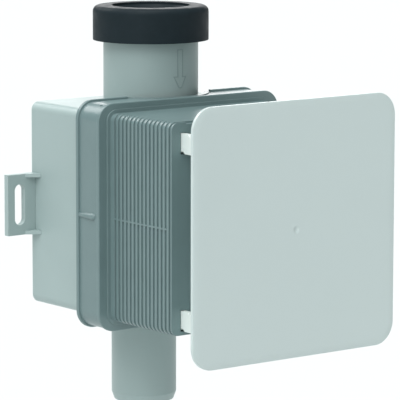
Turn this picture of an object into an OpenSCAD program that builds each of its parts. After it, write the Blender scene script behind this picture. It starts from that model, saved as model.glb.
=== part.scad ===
/* [Wall box] */
// Width of the box behind the collar
box_w = 94.4; // [86:0.2:110]
// Height of the box
box_h = 99.2; // [90:0.2:116]
// Depth of the box, from the wall face to its front rim
box_depth = 61.5; // [59:0.5:80]
// Wall thickness of the box
box_wall = 2; // [1.6:0.1:3]
// Radius of the four long edges of the box
box_r = 4.2; // [3:0.1:8]
// Thickness of the flange that the guard snaps over
flange_t = 2; // [1.4:0.1:3]
// Width of each guide rail
rail_t = 2; // [1.2:0.1:3]
// Height of the guide rails above and below the middle
rail_z = 28; // [14:0.5:34]
// How far the rails stop short of the box's front rim
rail_short = 4; // [1:0.5:12]

/* [Wall lugs] */
// How far a lug stands out from the side of the box
lug_reach = 16.3; // [13:0.1:24]
// Height of a lug
lug_h = 29.9; // [26:0.1:44]
// Thickness of a lug
lug_t = 3.1; // [2:0.1:5]
// Width of the slot for the wall screw
slot_w = 6; // [4.4:0.1:6.4]
// Length of the slot, end to end
slot_l = 20; // [10:0.5:21]
// Distance from the side of the box to the middle of the slot
slot_out = 9.4; // [7.5:0.1:9.6]
// Reach of a gusset along the lug
gusset_out = 6.3; // [3:0.1:8]
// Reach of a gusset along the side of the box
gusset_fwd = 4.6; // [2:0.1:9]
// Thickness of a gusset
gusset_t = 1.8; // [1:0.1:3]

/* [Inlet socket] */
// Outer diameter of the socket
inlet_od = 46.2; // [44:0.2:48]
// Wall thickness of the socket
inlet_wall = 2.2; // [1.6:0.1:2.6]
// Distance from the front rim of the box to the socket's axis
inlet_from_rim = 27.5; // [26:0.1:30.5]
// Height of the socket above the box
inlet_rise = 43.8; // [30:0.2:90]

/* [Outlet spigot] */
// Outer diameter of the spigot
outlet_od = 32; // [28:0.2:40]
// Wall thickness of the spigot
outlet_wall = 2; // [1.5:0.1:3]
// Distance from the wall face to the spigot's axis
outlet_depth = 28.1; // [24:0.1:34]
// Length of the spigot below the box
outlet_len = 49; // [30:0.5:90]
// Length of the lead-in at the spigot's end
lead_l = 3.6; // [1:0.1:6]
// How far the lead-in narrows the spigot's radius
lead_in = 1.3; // [0.4:0.1:1.4]

/* [Weld feet] */
// Thickness of the foot that each pipe has inside the box
foot_t = 1.6; // [1:0.1:2.4]
// How far a foot stands out round its pipe
foot_out = 1.8; // [1:0.1:3]
// Height of the outlet's shoulder where it sits in the floor of the box
shoulder_out = 0.5; // [0.3:0.1:0.9]

/* [Inlet seal] */
// Outer diameter of the rubber seal
seal_od = 56.4; // [53:0.2:64]
// How far the seal's skirt reaches down over the socket
seal_skirt = 13.3; // [12:0.1:20]
// Thickness of the seal above the end of the socket
seal_crown = 3.4; // [2.5:0.1:5]
// Radius of the seal's rounded top edge
seal_edge_r = 3; // [1:0.1:3.2]
// Radius of the hole in the seal's crown
seal_hole_r = 19; // [17.5:0.1:19.4]
// Radius of the first sealing land, for a drain pipe
land_a_r = 15.8; // [15:0.1:16.4]
// Radius of the second sealing land
land_b_r = 12.3; // [11.6:0.1:12.8]
// Radius of the third sealing land, for a hose
land_c_r = 9.8; // [8:0.1:10]
// Length of each sealing land
land_l = 4.2; // [3:0.1:5]
// Height of the cone between two lands
land_cone = 2.4; // [1.5:0.1:3]
// Wall thickness of the seal's stepped sleeve
sleeve_t = 2; // [1.4:0.1:2.4]
// Length of the seal's lip inside the socket
plug_l = 9; // [5:0.5:12]
// Thickness of that lip
plug_t = 1.3; // [0.8:0.1:1.5]

/* [Guard collar] */
// Space between the side of the box and the outside of the collar
collar_side = 6.7; // [6:0.1:10]
// Space between the top of the box and the outside of the collar
collar_top = 4.3; // [4:0.1:10]
// Distance from the collar's front face to the rear lip
collar_len = 16.2; // [13:0.1:19]
// Wall thickness of the collar
collar_wall = 1.8; // [1.3:0.1:2.4]
// Corner radius of the collar
collar_r = 8.2; // [6:0.1:12]
// How far the front rim stands proud of the collar
rim_out = 0.65; // [0.3:0.05:2]
// Thickness of the front rim
rim_t = 2; // [1:0.1:3]
// How far the rear lip stands proud of the collar
lip_out = 1.05; // [0.3:0.05:3]
// Thickness of the rear lip
lip_t = 2; // [1.2:0.1:3]
// Radius on the edges of rim and lip
bead_r = 0.5; // [0.2:0.1:0.5]
// Gap round the inlet socket in the collar's notch
notch_gap = 2.9; // [1:0.1:3.4]
// Width of the low bead that runs round the notch
notch_bead = 2.5; // [0.8:0.1:3.5]
// Height of that bead
notch_bead_h = 0.5; // [0.2:0.05:1]
// How far the rear lip stops short of the notch on each side
lip_short = 3; // [0.5:0.1:6]
// Radius of the latch ridge on each side of the collar, at its round front end
ridge_r = 1.75; // [1.2:0.05:2.4]
// How much less the ridge's radius is at the rear lip
ridge_taper = 0.5; // [0:0.05:0.7]
// How far the ridge's axis lies inside the side of the collar
ridge_sunk = 0.45; // [0.1:0.05:0.8]
// How far the ridge lies above the middle of the collar
ridge_up = 0.5; // [0:0.1:2]
// Space between the ridge's end and the front rim
ridge_gap = 1.6; // [0.4:0.1:6]
// Width of the snap teeth inside the collar
tooth_w = 16; // [8:0.5:24]
// How far a snap tooth reaches behind the flange
tooth_in = 1; // [0.7:0.1:1.5]

/* [Guard neck] */
// How far the outside of the neck stands outside the box at each side
neck_over_w = 0.75; // [0:0.05:3]
// How far the outside of the neck stands outside the box at top and bottom
neck_over_h = 0.15; // [0:0.05:3]
// Length of the neck in front of the collar
neck_len = 47.9; // [30:0.1:80]
// Wall thickness of the neck at the bottom of a groove
neck_wall = 1.5; // [1:0.1:2.2]
// Corner radius of the neck
neck_r = 3.6; // [3:0.1:7]
// Pitch of the cutting ribs
rib_pitch = 3.005; // [2.4:0.005:5]
// Width of a rib
rib_w = 1.5; // [0.8:0.1:2]
// Height of a rib
rib_h = 0.8; // [0.4:0.05:1.2]
// Plain band between the collar and the first groove
band_l = 3.5; // [2.6:0.1:6]
// Width of the rim at the neck's mouth
mouth_rim = 0.95; // [0.6:0.05:3]
// How far the step at the neck's foot stands out round the neck
step_out = 1.8; // [0.5:0.1:2.8]
// Height of that step above the collar's face
step_h = 0.6; // [0.3:0.1:1.4]
// Thickness of the cross rib at half height
cross_t = 0.8; // [0.4:0.1:2]
// Thickness of the front frame at the neck's mouth
frame_t = 1.6; // [1.2:0.1:3]
// Width of the front frame at each side
frame_side = 12; // [11.4:0.1:16]
// Width of the front frame at top and bottom
frame_top = 6; // [3:0.1:7]
// Corner radius of the service opening
opening_r = 5; // [2:0.5:10]
// Distance from the top of the neck to the middle of a leg slot
leg_from_top = 8.3; // [8:0.1:14]
// How far the finger notch in the mouth stops short of the neck's side
mouth_notch_side = 8.3; // [4:0.1:20]
// Length of the finger notch, front to back
mouth_notch_l = 3; // [1.6:0.1:5]
// Depth of the finger notch
mouth_notch_d = 0.9; // [0.3:0.1:1]
// Width of the groove behind the mouth's rim
mouth_groove_w = 1.4; // [0.6:0.1:1.5]
// Depth of that groove at top and bottom
mouth_groove_d = 0.5; // [0.2:0.1:0.8]
// Diameter of the vent hole in each upper corner of the collar
vent_d = 1.4; // [0.8:0.1:2.4]
// Distance from the side of the collar to a vent hole
vent_side = 5; // [3.4:0.1:9]
// Distance from the collar's face back to a vent hole
vent_back = 5.5; // [4.4:0.1:10]

/* [Cover] */
// Width and height of the cover plate
cover_w = 120.5; // [116:0.5:160]
// Corner radius of the cover plate
cover_r = 11; // [10:0.5:20]
// Thickness of the cover plate at its edge
cover_edge = 1.65; // [1:0.05:3]
// Height of the pillowed border above the edge
cover_crown = 0.35; // [0.1:0.05:1]
// Width of the pillowed border
cover_border = 3.2; // [1:0.1:8]
// Gap between the plate and the neck with the cover pulled out
cover_out = 30.2; // [10:0.1:31]
// Radius of the shallow dimple in the middle of the plate
dimple_r = 1.9; // [1:0.1:4]
// Depth of the dimple
dimple_d = 0.25; // [0.1:0.05:0.5]
// Thickness of a leg
leg_t = 2.6; // [1.6:0.1:3.4]
// Height of a leg
leg_h = 8.4; // [6:0.1:9]
// Distance from the side of the neck to the outside of a leg
leg_from_side = 5.55; // [4:0.05:6]
// How far the legs sit below the middle of their pattern
leg_drop = 0.95; // [0:0.05:1.2]
// How far a leg reaches in behind the front frame with the cover pulled out
leg_past = 4.1; // [2:0.1:12]
// How far the tongue of a leg is set up from its root
leg_step = 1.05; // [0.2:0.05:1.2]
// Length of the tongue in front of the neck, up to the step below it
leg_low = 1.5; // [1:0.1:4]
// Length of the tongue in front of the neck, up to the step above it
leg_high = 4.6; // [3:0.1:8]

/* [Trap cassette] */
// Gap between the cassette, with its gaskets, and the service opening
cassette_gap = 1; // [0.5:0.1:2]
// Wall thickness of the cassette
cassette_wall = 1.6; // [1.2:0.1:2.4]
// Corner radius of the cassette
cassette_r = 5; // [3:0.5:8]
// Thickness of the cassette's top
top_t = 2; // [1.5:0.1:3]
// Outer radius of the standpipe
stand_r = 10; // [9:0.1:11]
// Wall thickness of the standpipe
stand_wall = 2; // [1.2:0.1:2.2]
// Distance from the top of the cassette down to the overflow seat
weir_drop = 25.75; // [25.25:0.25:32]
// Radius of the hole in the rubber seat
seat_hole_r = 6; // [5:0.1:6.3]
// Thickness of the rubber seat above the standpipe
seat_t = 2.5; // [2:0.1:3]
// Radius of the ball
ball_r = 9; // [8.5:0.1:9.5]
// How far the ball can lift
ball_lift = 5; // [3:0.1:5.5]
// Inner radius of the bell over the ball
bell_r = 13.5; // [12.8:0.1:14.5]
// Wall thickness of the bell
bell_wall = 1.5; // [1:0.1:2]
// Gap between the bell's lower edge and the cassette's floor
bell_foot = 4; // [2:0.1:8]
// How far the ribs that hang the bell stand out
hanger_reach = 7; // [5:0.5:9]
// Radius of the inlet opening in the cassette's top
mouth_r = 17; // [15:0.1:18]
// Width of the grip on the cassette's front
grip_w = 40; // [24:0.5:50]
// How far the grip stands out from the cassette
grip_out = 14; // [10:0.5:20]
// Height of the grip
grip_h = 12; // [6:0.5:20]
// Thickness of the grip's bow
grip_t = 2.6; // [1.6:0.1:4]
// How far the grip's plate reaches past its bow
grip_edge = 4; // [3:0.5:8]
// Thickness of the grip's plate
grip_plate_t = 2; // [1.2:0.1:3]

/* [Gaskets] */
// Thickness of the gasket between box and guard
frame_gasket_t = 2.2; // [1.2:0.1:4]
// Thickness of the two ring gaskets of the cassette
ring_t = 2; // [1.4:0.1:2.4]
// Width of the ring gaskets
ring_w = 3.6; // [2.6:0.1:4.2]

/* [Hidden] */
$fn = 64;
over = 1;
fit_gap = 0.05;
slide_gap = 0.3;

// Depths are counted from the wall face towards the room, so y is minus a depth
collar_front = box_depth + frame_gasket_t + collar_wall;
lip_front = collar_front - collar_len;
lip_back = lip_front - lip_t;
flange_back = lip_front + 0.3;
neck_front = collar_front + neck_len;
cover_back = neck_front + cover_out;
cover_front = cover_back + cover_edge + cover_crown;

collar_w = box_w + 2 * collar_side;
collar_h = box_h + 2 * collar_top;
flange_w = collar_w - 2 * (collar_wall + slide_gap);
flange_h = collar_h - 2 * (collar_wall + slide_gap);
neck_w = box_w + 2 * neck_over_w;
neck_h = box_h + 2 * neck_over_h;
neck_in_w = neck_w - 2 * (rib_h + neck_wall);
neck_in_h = neck_h - 2 * neck_wall;
opening_w = neck_w - 2 * frame_side;
opening_h = neck_h - 2 * frame_top;

inlet_depth = box_depth - inlet_from_rim;
inlet_r = inlet_od / 2;
inlet_bore_r = inlet_r - inlet_wall;
inlet_end = box_h / 2 + inlet_rise;
outlet_r = outlet_od / 2;
outlet_bore_r = outlet_r - outlet_wall;
outlet_end = -box_h / 2 - outlet_len;

cassette_w = opening_w - 2 * cassette_gap;
cassette_h = opening_h - 2 * (cassette_gap + ring_t);
cassette_back = box_wall + cassette_gap;
port_z = cassette_h / 2 + ring_t;
floor_z = -cassette_h / 2 + cassette_wall;
weir_z = cassette_h / 2 - weir_drop;
stand_bore_r = stand_r - stand_wall;
bell_out_r = bell_r + bell_wall;

// A ball on a 45 degree seat touches it where its own slope is 45 degrees
touch_r = ball_r * sin(45);
seat_low = weir_z - (stand_bore_r - 0.4 - seat_hole_r);
ball_z = seat_low + (touch_r - seat_hole_r) + touch_r + fit_gap * sqrt(2);
dome_z = ball_z + ball_r + ball_lift + 0.8;

leg_x = neck_w / 2 - leg_from_side;
leg_zs = [neck_h / 2 - leg_from_top - leg_drop, -neck_h / 2 + leg_from_top - leg_drop];
rib_first = collar_front + band_l + rib_pitch - rib_w;
rib_count = floor((neck_len - band_l - mouth_rim) / rib_pitch);

grey_light = "#aebfbd";
grey_dark = "#6f8082";
black_rubber = "#2a3336";
clear_tint = "#cfe0e2";
white_cover = "#dfe9e7";

// A rectangle with round corners
module rounded(w, h, r) {
    square([w - 2 * r, h], center = true);
    square([w, h - 2 * r], center = true);
    for (sx = [-1, 1], sz = [-1, 1])
        translate([sx * (w / 2 - r), sz * (h / 2 - r)]) circle(r = r);
}

// Extrudes a front view outline between two depths
module deep(from, to) {
    translate([0, -from, 0]) rotate([90, 0, 0]) linear_extrude(to - from) children();
}

// Sweeps a profile round a rounded rectangle: x runs outwards from its outline, y is the depth
module around(w, h, r) {
    rotate([90, 0, 0]) for (i = [0 : 3]) {
        across = i % 2 == 0 ? w : h;
        along = i % 2 == 0 ? h : w;
        rotate([0, 0, 90 * i]) {
            translate([across / 2, along / 2 - r, 0]) rotate([90, 0, 0])
                linear_extrude(along - 2 * r) children();
            translate([across / 2 - r, along / 2 - r, 0])
                rotate_extrude(angle = 90) translate([r, 0]) children();
        }
    }
}

// An upright rod
module upright(depth, z0, z1, r) {
    translate([0, -depth, z0]) cylinder(r = r, h = z1 - z0);
}

module both_sides() {
    children();
    mirror([1, 0, 0]) children();
}

// Wall lug on the right side, moulded on the box: a plate with an upright screw slot and two gussets
module lug() {
    side = box_w / 2;
    color(grey_light) {
        difference() {
            translate([side, -lug_t, -lug_h / 2]) cube([lug_reach, lug_t, lug_h]);
            translate([side + slot_out, 0, 0]) deep(-over, lug_t + over) {
                square([slot_w, slot_l - slot_w], center = true);
                for (sz = [-1, 1]) translate([0, sz * (slot_l - slot_w) / 2]) circle(d = slot_w);
            }
        }
        for (z = [-lug_h / 2, lug_h / 2 - gusset_t])
            translate([0, 0, z]) linear_extrude(gusset_t) polygon([
                [side, -lug_t + over], [side + gusset_out, -lug_t + over], [side + gusset_out, -lug_t],
                [side, -lug_t - gusset_fwd]]);
    }
}

module lug_right() {
    lug();
}

module lug_left() {
    mirror([1, 0, 0]) lug();
}

// Guide rails that carry the cassette, on the right side
module rails() {
    inner = box_w / 2 - box_wall;
    start = cassette_w / 2 + slide_gap;
    for (sz = [-1, 1])
        translate([start, -(box_depth - rail_short), sz * rail_z - rail_t / 2])
            cube([inner - start + over / 2, box_depth - rail_short - box_wall + over / 2, rail_t]);
}

module wall_box() {
    color(grey_light) difference() {
        union() {
            difference() {
                deep(0, box_depth) rounded(box_w, box_h, box_r);
                deep(box_wall, box_depth + over)
                    rounded(box_w - 2 * box_wall, box_h - 2 * box_wall, box_r - box_wall);
            }
            difference() {
                deep(flange_back, flange_back + flange_t) rounded(flange_w, flange_h, collar_r - collar_wall);
                deep(flange_back - over, flange_back + flange_t + over)
                    rounded(box_w - box_wall, box_h - box_wall, box_r - box_wall / 2);
            }
            both_sides() rails();
        }
        upright(inlet_depth, port_z, inlet_end, inlet_r + fit_gap);
        upright(outlet_depth, outlet_end, -port_z, outlet_r + shoulder_out + fit_gap);
    }
}

// Pipe welded into the top of the box, with a foot under the ceiling and an upstand for the gasket
module inlet_socket() {
    ceiling = box_h / 2 - box_wall;
    color(grey_light) translate([0, -inlet_depth, 0]) rotate_extrude() polygon([
        [inlet_bore_r, port_z], [inlet_r, port_z], [inlet_r, ceiling - foot_t],
        [inlet_r + foot_out, ceiling - foot_t], [inlet_r + foot_out, ceiling], [inlet_r, ceiling],
        [inlet_r, inlet_end], [inlet_bore_r, inlet_end]]);
}

// The same for the outlet, with a shoulder in the floor and a lead-in at the end that enters the drain
module outlet_spigot() {
    under = -box_h / 2;
    floor = under + box_wall;
    color(grey_light) translate([0, -outlet_depth, 0]) rotate_extrude() polygon([
        [outlet_bore_r, -port_z], [outlet_r, -port_z], [outlet_r, floor + foot_t],
        [outlet_r + foot_out, floor + foot_t], [outlet_r + foot_out, floor],
        [outlet_r + shoulder_out, floor], [outlet_r + shoulder_out, under], [outlet_r, under],
        [outlet_r, outlet_end + lead_l], [outlet_r - lead_in, outlet_end], [outlet_bore_r, outlet_end]]);
}

// Section of the rubber seal: a skirt over the socket, a crown, and a stepped sleeve inside
function seal_edge(top) = [for (a = [0 : 15 : 90])
    [seal_od / 2 - seal_edge_r + seal_edge_r * cos(a), top - seal_edge_r + seal_edge_r * sin(a)]];

module inlet_seal() {
    top = inlet_end + seal_crown;
    out_r = inlet_r + fit_gap;
    plug_r = inlet_bore_r - fit_gap;
    z_a = top - 4.8;
    z_b = z_a - land_l - land_cone;
    z_c = z_b - land_l - land_cone;
    groove = inlet_end - 1.5;
    lip = inlet_end - plug_l;
    color(black_rubber) translate([0, -inlet_depth, 0]) rotate_extrude() polygon(concat(
        [[out_r, inlet_end - seal_skirt], [seal_od / 2, inlet_end - seal_skirt]],
        seal_edge(top),
        [[seal_hole_r, top], [seal_hole_r, top - 1.2],
         [land_a_r, z_a], [land_a_r, z_a - land_l],
         [land_b_r, z_b], [land_b_r, z_b - land_l],
         [land_c_r, z_c], [land_c_r, z_c - land_l],
         [land_c_r + sleeve_t, z_c - land_l], [land_c_r + sleeve_t, z_c],
         [land_b_r + sleeve_t, z_b - land_l], [land_b_r + sleeve_t, z_b],
         [land_a_r + sleeve_t, z_a - land_l], [land_a_r + sleeve_t, groove],
         [plug_r - plug_t, groove], [plug_r - plug_t, lip], [plug_r, lip],
         [plug_r, inlet_end + fit_gap], [out_r, inlet_end + fit_gap]]));
}

// A bead with rounded edges that runs round the collar, standing proud of its channel
module bead(from, to, out) {
    around(collar_w, collar_h, collar_r)
        translate([(out - over) / 2, (from + to) / 2]) rounded(out + over, to - from, bead_r);
}

module collar_outside() {
    deep(lip_back, collar_front) rounded(collar_w, collar_h, collar_r);
    bead(collar_front - rim_t, collar_front, rim_out);
    bead(lip_back, lip_front, lip_out);
}

module collar_inside() {
    deep(lip_back - over, collar_front - collar_wall)
        rounded(collar_w - 2 * collar_wall, collar_h - 2 * collar_wall, collar_r - collar_wall);
}

// Round notch, concentric with the inlet socket, that lets the collar slide on past it
module socket_notch() {
    upright(inlet_depth, box_h / 2 + over, collar_h / 2 + lip_out + over, inlet_r + notch_gap);
}

// Low bead round the notch, between the rear lip and the front rim
module notch_edge() {
    back = (lip_back + lip_front) / 2;
    front = collar_front - rim_t / 2;
    intersection() {
        upright(inlet_depth, collar_h / 2 - over, collar_h / 2 + notch_bead_h, inlet_r + notch_gap + notch_bead);
        translate([-collar_w / 2, -front, 0]) cube([collar_w, front - back, collar_h]);
    }
}

// Gap in the rear lip at the notch
module lip_gap() {
    across = inlet_depth - lip_back;
    half = sqrt(pow(inlet_r + notch_gap, 2) - pow(across, 2)) + lip_short;
    translate([-half, -lip_front - over / 2, collar_h / 2 + fit_gap])
        cube([2 * half, lip_t + over, lip_out + over]);
}

// Step between the collar's face and the neck
module neck_foot() {
    deep(collar_front - over, collar_front + step_h)
        rounded(neck_w + 2 * step_out, neck_h + 2 * step_out, neck_r + step_out);
}

module neck_outside() {
    deep(collar_front - over, neck_front) rounded(neck_w - 2 * rib_h, neck_h, neck_r);
    deep(collar_front - over, collar_front + band_l) rounded(neck_w, neck_h, neck_r);
    for (i = [0 : rib_count - 1])
        deep(rib_first + i * rib_pitch, rib_first + i * rib_pitch + rib_w) rounded(neck_w, neck_h, neck_r);
    deep(neck_front - mouth_rim, neck_front) rounded(neck_w, neck_h, neck_r);
    translate([-neck_w / 2, -neck_front, -cross_t / 2]) cube([neck_w, neck_len, cross_t]);
}

// Groove that parts the mouth's rim from the last rib and runs on over the top and the bottom
module mouth_groove() {
    front = neck_front - mouth_rim;
    back = front - mouth_groove_w;
    difference() {
        deep(back, front) rounded(neck_w + 2 * over, neck_h + 2 * over, neck_r + over);
        deep(back - over, front + over) rounded(neck_w - 2 * (rib_h + fit_gap),
            neck_h - 2 * mouth_groove_d, neck_r - mouth_groove_d);
    }
}

// Finger notch in the top of the mouth
module mouth_notch() {
    translate([-(neck_w / 2 - mouth_notch_side), -(neck_front + over), neck_h / 2 - mouth_notch_d])
        cube([neck_w - 2 * mouth_notch_side, mouth_notch_l + over, mouth_notch_d + over]);
}

// The hook-in slots for the legs of the cover, in the front frame
module leg_slots() {
    for (z = leg_zs) both_sides()
        translate([leg_x - leg_t - slide_gap, -(neck_front + over), z - leg_h / 2 - leg_step - slide_gap])
            cube([leg_t + 2 * slide_gap, frame_t + 2 * over, leg_h + leg_step + 2 * slide_gap]);
}

// Half round ridge on the side of the collar, over the snap tooth, with a round end towards the rim
module latch_ridge() {
    straight = collar_len - rim_t - ridge_gap - ridge_r;
    translate([collar_w / 2 - ridge_sunk, -lip_front, ridge_up]) rotate([90, 0, 0]) {
        cylinder(r1 = ridge_r - ridge_taper, r2 = ridge_r, h = straight);
        translate([0, 0, straight]) sphere(r = ridge_r);
    }
}

module snap_tooth() {
    wall = collar_w / 2 - collar_wall;
    translate([0, 0, -tooth_w / 2]) linear_extrude(tooth_w) polygon([
        [wall + over / 2, -lip_back], [wall, -lip_back], [wall - tooth_in, -flange_back + 0.9],
        [wall - tooth_in, -flange_back + 0.2], [wall + over / 2, -flange_back + 0.2]]);
}

module vents() {
    both_sides() translate([collar_w / 2 - vent_side, 0, 0])
        upright(collar_front - vent_back, 0, collar_h, vent_d / 2);
}

module guard_frame() {
    color(grey_dark) {
        difference() {
            union() {
                difference() {
                    collar_outside();
                    lip_gap();
                }
                notch_edge();
                neck_outside();
                neck_foot();
                both_sides() latch_ridge();
            }
            collar_inside();
            deep(collar_front - collar_wall - over, neck_front - frame_t)
                rounded(neck_in_w, neck_in_h, neck_r - neck_wall);
            deep(neck_front - frame_t - over, neck_front + over) rounded(opening_w, opening_h, opening_r);
            leg_slots();
            socket_notch();
            vents();
            mouth_groove();
            mouth_notch();
        }
        both_sides() snap_tooth();
    }
}

module frame_gasket() {
    color(black_rubber) difference() {
        deep(box_depth, box_depth + frame_gasket_t) rounded(box_w + 3, box_h + 3, box_r + 1.5);
        deep(box_depth - over, box_depth + frame_gasket_t + over)
            rounded(neck_in_w, neck_in_h, neck_r - neck_wall);
    }
}

// Two low rims that hold a ring gasket on the cassette, drawn upwards from z = 0
module gasket_rims(mid_r) {
    h = ring_t * 0.6;
    for (r = [mid_r - ring_w / 2 - fit_gap - 1.2, mid_r + ring_w / 2 + fit_gap]) difference() {
        translate([0, 0, -over / 2]) cylinder(r = r + 1.2, h = h + over / 2);
        translate([0, 0, -over]) cylinder(r = r, h = h + 2 * over);
    }
}

module ring_gasket(mid_r) {
    difference() {
        cylinder(r = mid_r + ring_w / 2, h = ring_t);
        translate([0, 0, -over]) cylinder(r = mid_r - ring_w / 2, h = ring_t + 2 * over);
    }
}

inlet_ring_r = inlet_r - inlet_wall / 2;
outlet_ring_r = outlet_r - outlet_wall / 2;

module cassette_body() {
    top = cassette_h / 2 - top_t;
    color(clear_tint, 0.5) difference() {
        union() {
            difference() {
                intersection() {
                    deep(cassette_back, box_depth) rounded(cassette_w, cassette_h, cassette_r);
                    translate([-box_w, -box_depth, -box_h]) cube([2 * box_w, box_depth, box_h + top]);
                }
                translate([-cassette_w / 2 + cassette_wall, -(box_depth - cassette_wall), floor_z])
                    cube([cassette_w - 2 * cassette_wall, box_depth - cassette_back - 2 * cassette_wall,
                        cassette_h]);
            }
            upright(outlet_depth, floor_z - over / 2, weir_z - seat_t, stand_r);
            translate([0, -outlet_depth, -cassette_h / 2]) mirror([0, 0, 1]) gasket_rims(outlet_ring_r);
            grip_channel();
        }
        upright(outlet_depth, -cassette_h, weir_z, stand_bore_r);
    }
}

// Bell over the standpipe, hung from the cassette's top by three ribs
module bell() {
    color(clear_tint, 0.5) translate([0, -outlet_depth, 0]) difference() {
        union() {
            translate([0, 0, floor_z + bell_foot])
                cylinder(r = bell_out_r, h = dome_z + bell_wall - floor_z - bell_foot);
            for (a = [0, 90, 180]) rotate([0, 0, a])
                translate([bell_r + bell_wall / 2, -0.8, dome_z - 8])
                    cube([hanger_reach, 1.6, cassette_h / 2 - top_t - dome_z + 8]);
        }
        difference() {
            translate([0, 0, floor_z + bell_foot - over]) cylinder(r = bell_r, h = dome_z - floor_z - bell_foot + over);
            for (a = [45 : 90 : 315]) rotate([0, 0, a])
                translate([ball_r + slide_gap + 0.1, -0.6, weir_z + 0.6]) cube([bell_r, 1.2, dome_z]);
        }
    }
}

module cassette_top() {
    low = cassette_h / 2 - top_t;
    color(clear_tint, 0.5) difference() {
        union() {
            intersection() {
                deep(cassette_back, box_depth) rounded(cassette_w, cassette_h, cassette_r);
                translate([-box_w, -box_depth, low]) cube([2 * box_w, box_depth, top_t]);
            }
            translate([0, -inlet_depth, cassette_h / 2]) gasket_rims(inlet_ring_r);
        }
        upright(inlet_depth, low - over, port_z, mouth_r);
    }
}

grip_plate_w = grip_w + 2 * grip_edge;
grip_plate_h = grip_h + 2 * grip_edge;

// Channel on the cassette's front that the grip's plate slides down into, with a stop below
module grip_channel() {
    lip = 1.2;
    side = grip_plate_w / 2 + fit_gap;
    front = box_depth + grip_plate_t + fit_gap + lip;
    both_sides() translate([0, 0, -grip_plate_h / 2 - lip]) linear_extrude(grip_plate_h + lip) polygon([
        [side, -box_depth + over / 2], [side + lip, -box_depth + over / 2], [side + lip, -front],
        [side - lip, -front], [side - lip, -front + lip], [side, -front + lip]]);
    translate([-side - over / 2, -front, -grip_plate_h / 2 - lip])
        cube([2 * side + over, front - box_depth + over / 2, lip]);
}

// The grip: a plate in the channel and a bow for two fingers
module cassette_grip() {
    bow = grip_out + grip_plate_t;
    color(white_cover) {
        deep(box_depth, box_depth + grip_plate_t) rounded(grip_plate_w, grip_plate_h, grip_edge / 2);
        translate([0, -box_depth - bow / 2, -grip_h / 2]) linear_extrude(grip_h) difference() {
            rounded(grip_w, bow, 5);
            rounded(grip_w - 2 * grip_t, bow - 2 * grip_t, 5 - grip_t);
        }
    }
}

module seat_ring() {
    color(black_rubber) translate([0, -outlet_depth, 0]) rotate_extrude() polygon([
        [seat_hole_r, weir_z - seat_t - 2], [stand_bore_r - fit_gap, weir_z - seat_t - 2],
        [stand_bore_r - fit_gap, weir_z - seat_t], [stand_r, weir_z - seat_t], [stand_r, weir_z - 0.6],
        [stand_r - 0.6, weir_z], [seat_hole_r + weir_z - seat_low, weir_z], [seat_hole_r, seat_low]]);
}

module float_ball() {
    color("#e8a33a") translate([0, -outlet_depth, ball_z]) sphere(r = ball_r);
}

module inlet_gasket() {
    color(black_rubber) translate([0, -inlet_depth, cassette_h / 2]) ring_gasket(inlet_ring_r);
}

module outlet_gasket() {
    color(black_rubber) translate([0, -outlet_depth, -port_z]) ring_gasket(outlet_ring_r);
}

// One leg, on the right side: a root on the plate and a tongue, set up from it, for the slot.
// The tongue steps down again behind the front frame, which stops the cover at the end of its way out.
module leg(z) {
    half = leg_h / 2;
    catch = neck_front - frame_t - slide_gap;
    tip = catch - leg_past;
    low = neck_front + leg_low;
    high = neck_front + leg_high;
    root = cover_back + over / 2;
    translate([leg_x - leg_t, 0, z]) rotate([90, 0, 90]) linear_extrude(leg_t) polygon([
        [-tip, 1 - half - leg_step], [-tip - 1, -half - leg_step], [-catch, -half - leg_step],
        [-catch, -half], [-low, -half], [-low - leg_step, -half - leg_step],
        [-root, -half - leg_step], [-root, half - leg_step], [-high - 1.5 * leg_step, half - leg_step],
        [-high, half], [-tip - 1, half], [-tip, half - 1]]);
}

// Border of the plate, falling in an arc from the flat face to the edge
module border_profile() {
    arc_r = (cover_border * cover_border + cover_crown * cover_crown) / (2 * cover_crown);
    intersection() {
        translate([-cover_border - over, cover_back])
            square([cover_border + over, cover_edge + cover_crown]);
        translate([-cover_border, cover_front - arc_r]) circle(r = arc_r);
    }
}

module cover_plate() {
    dimple_ball = (dimple_r * dimple_r + dimple_d * dimple_d) / (2 * dimple_d);
    color(white_cover) difference() {
        union() {
            deep(cover_back, cover_front)
                rounded(cover_w - 2 * cover_border, cover_w - 2 * cover_border, cover_r - cover_border);
            around(cover_w, cover_w, cover_r) border_profile();
            for (z = leg_zs) both_sides() leg(z);
        }
        translate([0, -(cover_front - dimple_d + dimple_ball), 0]) sphere(r = dimple_ball);
    }
}

wall_box();
lug_left();
lug_right();
inlet_socket();
outlet_spigot();
inlet_seal();
guard_frame();
frame_gasket();
cassette_body();
cassette_top();
bell();
cassette_grip();
seat_ring();
float_ball();
inlet_gasket();
outlet_gasket();
cover_plate();
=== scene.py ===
import math
import bmesh
import bpy
from mathutils import Matrix, Vector


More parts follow.
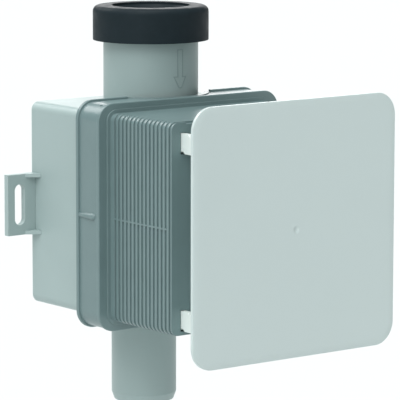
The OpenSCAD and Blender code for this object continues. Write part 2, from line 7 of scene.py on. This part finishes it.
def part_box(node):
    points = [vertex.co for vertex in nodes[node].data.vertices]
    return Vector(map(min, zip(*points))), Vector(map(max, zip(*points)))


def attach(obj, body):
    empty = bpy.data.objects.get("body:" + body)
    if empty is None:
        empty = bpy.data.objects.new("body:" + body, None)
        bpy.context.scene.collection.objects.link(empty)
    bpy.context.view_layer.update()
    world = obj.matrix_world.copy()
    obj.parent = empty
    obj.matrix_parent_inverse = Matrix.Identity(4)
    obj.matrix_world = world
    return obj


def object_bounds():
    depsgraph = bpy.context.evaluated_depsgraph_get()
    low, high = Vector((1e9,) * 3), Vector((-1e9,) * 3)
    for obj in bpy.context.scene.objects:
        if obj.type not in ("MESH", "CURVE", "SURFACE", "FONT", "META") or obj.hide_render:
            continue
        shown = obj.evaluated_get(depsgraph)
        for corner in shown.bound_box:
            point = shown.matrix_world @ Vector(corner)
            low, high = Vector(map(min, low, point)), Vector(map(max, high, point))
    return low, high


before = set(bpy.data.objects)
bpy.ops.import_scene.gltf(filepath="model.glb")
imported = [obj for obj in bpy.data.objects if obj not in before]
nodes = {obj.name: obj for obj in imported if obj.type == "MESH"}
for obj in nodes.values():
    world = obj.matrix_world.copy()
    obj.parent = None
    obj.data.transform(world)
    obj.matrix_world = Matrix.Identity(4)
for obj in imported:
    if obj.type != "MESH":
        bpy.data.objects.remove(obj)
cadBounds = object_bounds()
print("stage: frame loaded,", len(nodes), "nodes")


def mm(value):
    return value / 1000


# From an sRGB hex value to the linear colour that a shader takes
def linearColour(hexText):
    channels = [int(hexText[i:i + 2], 16) / 255 for i in (1, 3, 5)]
    return tuple(c / 12.92 if c <= 0.04045 else ((c + 0.055) / 1.055) ** 2.4 for c in channels) + (1,)


# The way from the part to a camera or lamp. Azimuth 0 is straight in front, and it grows to the right.
def wayTo(azimuth, elevation):
    turn, rise = math.radians(azimuth), math.radians(elevation)
    return Vector((math.sin(turn) * math.cos(rise), -math.cos(turn) * math.cos(rise), math.sin(rise)))


def addObject(name, data):
    added = bpy.data.objects.new(name, data)
    bpy.context.scene.collection.objects.link(added)
    return added


# Camera

# Angles in degrees, sizes and places in millimetres. The aim is the point at the middle of the picture,
# aimDepth in front of the wall and then moved aside and up as the camera sees it.
cameraLook = {
    "azimuth": -37.97, "elevation": 8.28, "roll": 0.08,
    "lens": 272.3, "sensor": 36, "distance": 1459.6,
    "aimDepth": 65.5, "aimRight": 4.70, "aimUp": 4.48,
    "nearest": 50, "farthest": 20000,
}


def makeCamera(look):
    back = wayTo(look["azimuth"], look["elevation"])
    azimuth, roll = math.radians(look["azimuth"]), math.radians(look["roll"])
    levelRight = Vector((math.cos(azimuth), math.sin(azimuth), 0))
    levelUp = back.cross(levelRight)
    right = math.cos(roll) * levelRight + math.sin(roll) * levelUp
    up = math.cos(roll) * levelUp - math.sin(roll) * levelRight
    aim = Vector((0, -mm(look["aimDepth"]), 0)) + right * mm(look["aimRight"]) + up * mm(look["aimUp"])
    data = bpy.data.cameras.new("camera")
    data.lens, data.sensor_width = look["lens"], look["sensor"]
    data.clip_start, data.clip_end = mm(look["nearest"]), mm(look["farthest"])
    camera = addObject("camera", data)
    camera.matrix_world = Matrix((
        (right.x, up.x, back.x, 0), (right.y, up.y, back.y, 0), (right.z, up.z, back.z, 0), (0, 0, 0, 1)))
    camera.location = aim + back * mm(look["distance"])
    bpy.context.scene.camera = camera


makeCamera(cameraLook)
print("stage: camera")


# Materials

# Settings go to the node itself. An input is a value, or another node's output to link, and it goes by
# its name, or by its number where two have the same name.
def addNode(tree, kind, inputs=None, **settings):
    node = tree.nodes.new(kind)
    for name, value in settings.items():
        setattr(node, name, value)
    for name, value in (inputs or {}).items():
        if isinstance(value, bpy.types.NodeSocket):
            tree.links.new(value, node.inputs[name])
        else:
            node.inputs[name].default_value = value
    return node


# Where a Mix node of colours has its two colours and its result
mixFirst, mixSecond, mixResult = 6, 7, 2


def perMetre(sizeInMm):
    return 1000 / sizeInMm


def newMaterial(name):
    material = bpy.data.materials.new(name)
    material.use_nodes = True
    material.node_tree.nodes.clear()
    return material, material.node_tree


# A shallow dish in a flat face, round a line that runs along y
def dishedNormal(tree, place, normal, dish):
    flat = addNode(tree, "ShaderNodeVectorMath", {0: place, 1: (1, 0, 1)}, operation="MULTIPLY")
    away = addNode(tree, "ShaderNodeVectorMath", {
        0: flat.outputs["Vector"], 1: (dish["x"], 0, dish["z"])}, operation="DISTANCE")
    height = addNode(tree, "ShaderNodeMapRange", {
        "Value": away.outputs["Value"], "From Min": 0.0, "From Max": mm(dish["radius"])},
        interpolation_type="SMOOTHSTEP")
    return addNode(tree, "ShaderNodeBump", {
        "Height": height.outputs["Result"], "Distance": mm(dish["depth"]),
        "Normal": normal.outputs["Normal"]})


# Painted light: the thin legs behind the plate get a lighter colour from the plate's back on, standing in
# for the light that they catch and let through
def paintedLightColour(tree, place, colour, legs):
    depth = addNode(tree, "ShaderNodeSeparateXYZ", {0: place})
    share = addNode(tree, "ShaderNodeMapRange", {
        "Value": depth.outputs["Y"], "From Min": legs["start"],
        "From Max": legs["start"] + mm(legs["fade"])})
    return addNode(tree, "ShaderNodeMix", {
        "Factor": share.outputs["Result"], mixFirst: colour.outputs[mixResult],
        mixSecond: linearColour(legs["colour"])}, data_type="RGBA")


# What all moulded surfaces share. Detail and harshness shape the noises, and glossFrom and glossTo are
# the part of the gloss noise that is spread over the whole range. Scatter is how far red, green and
# blue light go inside the plastic, as shares of the look's own depth.
mouldLook = {
    "mottleDetail": 3.0, "mottleHarshness": 0.55,
    "glossDetail": 2.0, "glossFrom": 0.3, "glossTo": 0.7,
    "grainDetail": 4.0, "grainHarshness": 0.6,
    "waveDetail": 1.0, "edgeSamples": 6, "scatter": (1.0, 0.9, 0.8),
}


# A moulded surface: slow mottle in colour and gloss, fine grain from the mould, softened edges
def mouldedMaterial(name, look):
    material, tree = newMaterial(name)
    place = addNode(tree, "ShaderNodeTexCoord").outputs["Object"]
    mottle = addNode(tree, "ShaderNodeTexNoise", {
        "Vector": place, "Scale": perMetre(look["mottleSize"]), "Detail": mouldLook["mottleDetail"],
        "Roughness": mouldLook["mottleHarshness"]})
    colour = addNode(tree, "ShaderNodeMix", {
        "Factor": mottle.outputs["Fac"], mixFirst: linearColour(look["darker"]),
        mixSecond: linearColour(look["colour"])}, data_type="RGBA")
    # Painted light: the cover's legs are drawn in a lighter colour than its plate
    if "legs" in look:
        colour = paintedLightColour(tree, place, colour, look["legs"])
    streaks = addNode(tree, "ShaderNodeTexNoise", {
        "Vector": place, "Scale": perMetre(look["glossSize"]), "Detail": mouldLook["glossDetail"]})
    roughness = addNode(tree, "ShaderNodeMapRange", {
        "Value": streaks.outputs["Fac"],
        "From Min": mouldLook["glossFrom"], "From Max": mouldLook["glossTo"],
        "To Min": look["roughness"] - look["roughnessSpread"],
        "To Max": look["roughness"] + look["roughnessSpread"]})
    grain = addNode(tree, "ShaderNodeTexNoise", {
        "Vector": place, "Scale": perMetre(look["grainSize"]), "Detail": mouldLook["grainDetail"],
        "Roughness": mouldLook["grainHarshness"]})
    waviness = addNode(tree, "ShaderNodeTexNoise", {
        "Vector": place, "Scale": perMetre(look["waveSize"]), "Detail": mouldLook["waveDetail"]})
    edge = addNode(tree, "ShaderNodeBevel", {"Radius": mm(look["edgeRadius"])},
                   samples=mouldLook["edgeSamples"])
    smoothNormal = dishedNormal(tree, place, edge, look["dish"]) if "dish" in look else edge
    wavyNormal = addNode(tree, "ShaderNodeBump", {
        "Height": waviness.outputs["Fac"], "Distance": mm(look["waveDepth"]),
        "Normal": smoothNormal.outputs["Normal"]})
    normal = addNode(tree, "ShaderNodeBump", {
        "Height": grain.outputs["Fac"], "Distance": mm(look["grainDepth"]),
        "Normal": wavyNormal.outputs["Normal"]})
    shader = addNode(tree, "ShaderNodeBsdfPrincipled", {
        "Base Color": colour.outputs[mixResult], "Roughness": roughness.outputs["Result"],
        "Normal": normal.outputs["Normal"], "IOR": look["ior"], "Specular IOR Level": look["specular"],
        "Subsurface Weight": look["subsurface"], "Subsurface Scale": mm(look["subsurfaceDepth"]),
        "Subsurface Radius": mouldLook["scatter"]})
    addNode(tree, "ShaderNodeOutputMaterial", {"Surface": shader.outputs["BSDF"]})
    return material


# In the looks, sizes, depths and radii are in millimetres. Real grain from a mould is a tenth of a
# millimetre or finer. It is drawn coarser here, so that it shows.

# Injection moulded polypropylene, pale grey: satin, slightly waxy, so its edges glow a little
boxLook = {
    "colour": "#9DAFAE", "darker": "#98AAA9", "mottleSize": 18,
    "roughness": 0.42, "roughnessSpread": 0.015, "glossSize": 9, "ior": 1.49, "specular": 0.35,
    "grainSize": 0.5, "grainDepth": 0.012, "waveSize": 24, "waveDepth": 0.03, "edgeRadius": 0.35,
    "subsurface": 0.08, "subsurfaceDepth": 1.2,
}
# Extruded polypropylene pipe, pale grey: a shade darker and smoother than the moulded box
pipeLook = dict(boxLook, colour="#98AAA9", darker="#94A6A5", roughness=0.38, specular=0.3, grainDepth=0.006)
# The flow arrow, a raised line of the same plastic: duller, and a little darker in colour as painted shade
# of its raised walls, so that it reads
arrowDullShadedLook = dict(pipeLook, colour="#8A9C9B", darker="#859796", roughness=0.5, edgeRadius=0.08)
# Moulded polypropylene, dark grey: smoother than the box, so its ribs and rounded corners catch light
guardLook = {
    "colour": "#6D8384", "darker": "#657B7C", "mottleSize": 10,
    "roughness": 0.3, "roughnessSpread": 0.008, "glossSize": 6, "ior": 1.49, "specular": 0.5,
    "grainSize": 0.4, "grainDepth": 0.012, "waveSize": 18, "waveDepth": 0.04, "edgeRadius": 0.4,
    "subsurface": 0.02, "subsurfaceDepth": 0.8,
}
# White plastic from a polished mould, styrene on the cover and polypropylene on the cassette's grip:
# clean and slightly glossy
whiteLook = {
    "colour": "#C2D0CF", "darker": "#C0CECD", "mottleSize": 40,
    "roughness": 0.32, "roughnessSpread": 0.01, "glossSize": 25, "ior": 1.53, "specular": 0.5,
    "grainSize": 0.8, "grainDepth": 0.003, "waveSize": 60, "waveDepth": 0.01, "edgeRadius": 0.4,
    "subsurface": 0.12, "subsurfaceDepth": 1.0,
}
# The cover adds the mark of the moulding gate, a dish in the middle of its face, and painted light on its
# legs: a lighter colour that starts just behind the plate.
coverLow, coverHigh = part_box("cover_plate")
coverMiddle = (coverLow + coverHigh) / 2
plateDepth = 2.3
coverLook = dict(
    whiteLook,
    dish={"x": coverMiddle.x, "z": coverMiddle.z, "radius": 2.1, "depth": 0.4},
    legs={"start": coverLow.y + mm(plateDepth), "fade": 1.5, "colour": "#DBE5E2"})
# Moulded drain rubber, black: nearly matt, with a faint sheen on the rounded rim
rubberLook = {
    "colour": "#222C31", "darker": "#1C262A", "mottleSize": 5,
    "roughness": 0.47, "roughnessSpread": 0.06, "glossSize": 4, "ior": 1.5, "specular": 0.08,
    "grainSize": 0.35, "grainDepth": 0.02, "waveSize": 12, "waveDepth": 0.03, "edgeRadius": 0.4,
    "subsurface": 0.0, "subsurfaceDepth": 0.5,
}
# Hollow ball of moulded polypropylene, orange: smooth, so that it reads through the clear cassette
ballLook = {
    "colour": "#E0863A", "darker": "#D87C31", "mottleSize": 8,
    "roughness": 0.3, "roughnessSpread": 0.04, "glossSize": 5, "ior": 1.49, "specular": 0.5,
    "grainSize": 0.5, "grainDepth": 0.006, "waveSize": 9, "waveDepth": 0.02, "edgeRadius": 0.2,
    "subsurface": 0.05, "subsurfaceDepth": 1.0,
}
# Clear styrene plastic, moulded: a faint grey-green tint and flow marks that bend the light a little
clearLook = {
    "tint": "#DDEBEA", "transmission": 0.9, "roughness": 0.06, "ior": 1.57,
    "flowSize": 22, "flowDepth": 0.05, "flowDetail": 2.0, "flowTwist": 0.6,
    "edgeRadius": 0.3, "edgeSamples": 4,
}


def clearMaterial(name, look):
    material, tree = newMaterial(name)
    place = addNode(tree, "ShaderNodeTexCoord").outputs["Object"]
    flow = addNode(tree, "ShaderNodeTexNoise", {
        "Vector": place, "Scale": perMetre(look["flowSize"]), "Detail": look["flowDetail"],
        "Distortion": look["flowTwist"]})
    edge = addNode(tree, "ShaderNodeBevel", {"Radius": mm(look["edgeRadius"])}, samples=look["edgeSamples"])
    normal = addNode(tree, "ShaderNodeBump", {
        "Height": flow.outputs["Fac"], "Distance": mm(look["flowDepth"]), "Normal": edge.outputs["Normal"]})
    shader = addNode(tree, "ShaderNodeBsdfPrincipled", {
        "Base Color": linearColour(look["tint"]), "Roughness": look["roughness"], "IOR": look["ior"],
        "Transmission Weight": look["transmission"], "Normal": normal.outputs["Normal"]})
    addNode(tree, "ShaderNodeOutputMaterial", {"Surface": shader.outputs["BSDF"]})
    return material


boxPlastic = mouldedMaterial("polypropylene_pale_grey_moulded", boxLook)
pipePlastic = mouldedMaterial("polypropylene_pale_grey_extruded", pipeLook)
arrowPlastic = mouldedMaterial("polypropylene_grey_raised_line", arrowDullShadedLook)
guardPlastic = mouldedMaterial("polypropylene_dark_grey_moulded", guardLook)
coverPlastic = mouldedMaterial("styrene_white_moulded", coverLook)
gripPlastic = mouldedMaterial("polypropylene_white_moulded", whiteLook)
sealRubber = mouldedMaterial("rubber_black_moulded", rubberLook)
ballPlastic = mouldedMaterial("polypropylene_orange_moulded", ballLook)
clearPlastic = clearMaterial("styrene_clear_moulded", clearLook)
finishes = {
    "wall_box": boxPlastic, "lug_left": boxPlastic, "lug_right": boxPlastic,
    "inlet_socket": pipePlastic, "outlet_spigot": pipePlastic,
    "guard_frame": guardPlastic, "cover_plate": coverPlastic, "cassette_grip": gripPlastic,
    "inlet_seal": sealRubber, "frame_gasket": sealRubber, "seat_ring": sealRubber,
    "inlet_gasket": sealRubber, "outlet_gasket": sealRubber, "float_ball": ballPlastic,
    "cassette_body": clearPlastic, "cassette_top": clearPlastic, "bell": clearPlastic,
}
for nodeName, finish in finishes.items():
    nodes[nodeName].data.materials.clear()
    nodes[nodeName].data.materials.append(finish)
print("stage: materials on", len(finishes), "nodes")


# Flow arrow, raised as a thin outline on the front of the inlet socket

# Millimetres. Heights are below the socket's open end. The line stands out by relief and goes in by
# sunk, and aside moves the arrow to the right of the socket's middle.
arrowLook = {
    "relief": 0.14, "sunk": 0.2, "lineWidth": 0.5, "cutEvery": 0.5, "aside": 0.3,
    "tipHeight": 35.4, "shoulderHeight": 29.6, "shaftTopHeight": 16.6,
    "headHalfWidth": 4.05, "shaftHalfWidth": 1.75, "tipRound": 1.4, "tipPoints": 7,
}


# Points across and up. The tip is an arc from one side of the head to the other.
def arrowOutline(look, openEnd):
    tip, shoulder, top = [openEnd - mm(look[name])
                          for name in ("tipHeight", "shoulderHeight", "shaftTopHeight")]
    head, shaft = mm(look["headHalfWidth"]), mm(look["shaftHalfWidth"])
    bend, count = mm(look["tipRound"]), look["tipPoints"]
    sweep = math.pi / 2 - math.atan2(head, shoulder - tip)
    turns = [sweep * (2 * i / (count - 1) - 1) for i in range(count)]
    outline = [(bend * math.sin(turn), tip + bend - bend * math.cos(turn)) for turn in turns]
    return outline + [(head, shoulder), (shaft, shoulder), (shaft, top), (-shaft, top),
                      (-shaft, shoulder), (-head, shoulder)]


def addPiece(name, mesh, body, material):
    data = bpy.data.meshes.new(name)
    mesh.to_mesh(data)
    mesh.free()
    data.materials.append(material)
    piece = addObject(name, data)
    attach(piece, body)


# The socket's own radius is taken above the box, where its foot doesn't reach.
def makeArrow(look):
    low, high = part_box("inlet_socket")
    axis = Vector(((low.x + high.x) / 2, (low.y + high.y) / 2, 0))
    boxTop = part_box("wall_box")[1].z
    radius = max(math.hypot(vertex.co.x - axis.x, vertex.co.y - axis.y)
                 for vertex in nodes["inlet_socket"].data.vertices if vertex.co.z > boxTop)
    mesh = bmesh.new()
    face = mesh.faces.new([mesh.verts.new((across + mm(look["aside"]), -mm(look["relief"]), up))
                           for across, up in arrowOutline(look, high.z)])
    mesh.normal_update()
    bmesh.ops.inset_region(mesh, faces=[face], thickness=mm(look["lineWidth"]), use_even_offset=True,
                           use_boundary=True)
    bmesh.ops.delete(mesh, geom=[face], context="FACES")
    walls = bmesh.ops.extrude_face_region(mesh, geom=mesh.faces[:])
    back = [item for item in walls["geom"] if isinstance(item, bmesh.types.BMVert)]
    bmesh.ops.translate(mesh, verts=back, vec=(0, mm(look["relief"] + look["sunk"]), 0))
    # Upright cuts let the flat line bend before it is wrapped round the socket
    step = mm(look["cutEvery"])
    cuts = int(mm(look["headHalfWidth"]) / step)
    for i in range(-cuts, cuts + 1):
        bmesh.ops.bisect_plane(mesh, geom=mesh.verts[:] + mesh.edges[:] + mesh.faces[:],
                               plane_co=(i * step, 0, 0), plane_no=(1, 0, 0))
    for vertex in mesh.verts:
        angle = vertex.co.x / radius
        reach = radius - vertex.co.y
        vertex.co = axis + Vector((math.sin(angle) * reach, -math.cos(angle) * reach, vertex.co.z))
    bmesh.ops.recalc_face_normals(mesh, faces=mesh.faces[:])
    addPiece("flow_arrow", mesh, "trap", arrowPlastic)


makeArrow(arrowLook)
print("stage: flow arrow")


# Stage and light

# The part hangs on a wall in use, so here it floats above a pale floor. Sizes in millimetres, and glow
# is the strength of the even white light from all round.
stageLook = {"floorDrop": 500, "floorSize": 80000, "floorColour": "#D2D6D6", "glow": 0.3}
# Directions in degrees round the part, softness as the angle that the lamp fills, strength in watts
# a square metre
lampLooks = {
    "frontLeft": {"azimuth": -40, "elevation": 30, "softness": 30, "strength": 0.23},
    "leftHigh": {"azimuth": -65, "elevation": 50, "softness": 40, "strength": 1.59},
    "leftLow": {"azimuth": -65, "elevation": 15, "softness": 30, "strength": 0.36},
    "top": {"azimuth": -60, "elevation": 85, "softness": 40, "strength": 1.81},
    "backLeft": {"azimuth": -168, "elevation": 38, "softness": 30, "strength": 0.90},
    "backRight": {"azimuth": 142, "elevation": 12, "softness": 30, "strength": 0.54},
}


# Plain matt paper: a pale, even ground
def makeFloor(look):
    mesh = bmesh.new()
    bmesh.ops.create_grid(mesh, x_segments=1, y_segments=1, size=mm(look["floorSize"]) / 2)
    bmesh.ops.translate(mesh, verts=mesh.verts[:], vec=(0, 0, cadBounds[0].z - mm(look["floorDrop"])))
    data = bpy.data.meshes.new("floor")
    mesh.to_mesh(data)
    mesh.free()
    material, tree = newMaterial("floor_paper")
    shader = addNode(tree, "ShaderNodeBsdfDiffuse", {"Color": linearColour(look["floorColour"])})
    addNode(tree, "ShaderNodeOutputMaterial", {"Surface": shader.outputs["BSDF"]})
    data.materials.append(material)
    addObject("floor", data)


def makeGlow(look):
    world = bpy.data.worlds.new("studio")
    world.use_nodes = True
    tree = world.node_tree
    tree.nodes.clear()
    sky = addNode(tree, "ShaderNodeBackground", {"Color": (1, 1, 1, 1), "Strength": look["glow"]})
    addNode(tree, "ShaderNodeOutputWorld", {"Surface": sky.outputs["Background"]})
    bpy.context.scene.world = world


def makeLamp(name, look):
    away = wayTo(look["azimuth"], look["elevation"])
    data = bpy.data.lights.new(name, "SUN")
    data.angle, data.energy = math.radians(look["softness"]), look["strength"]
    lamp = addObject(name, data)
    lamp.location = away
    lamp.rotation_euler = away.to_track_quat("Z", "Y").to_euler()


makeFloor(stageLook)
makeGlow(stageLook)
for lampName, lampLook in lampLooks.items():
    makeLamp(lampName, lampLook)
bpy.context.scene.view_settings.view_transform = "Standard"
print("stage: floor and light")
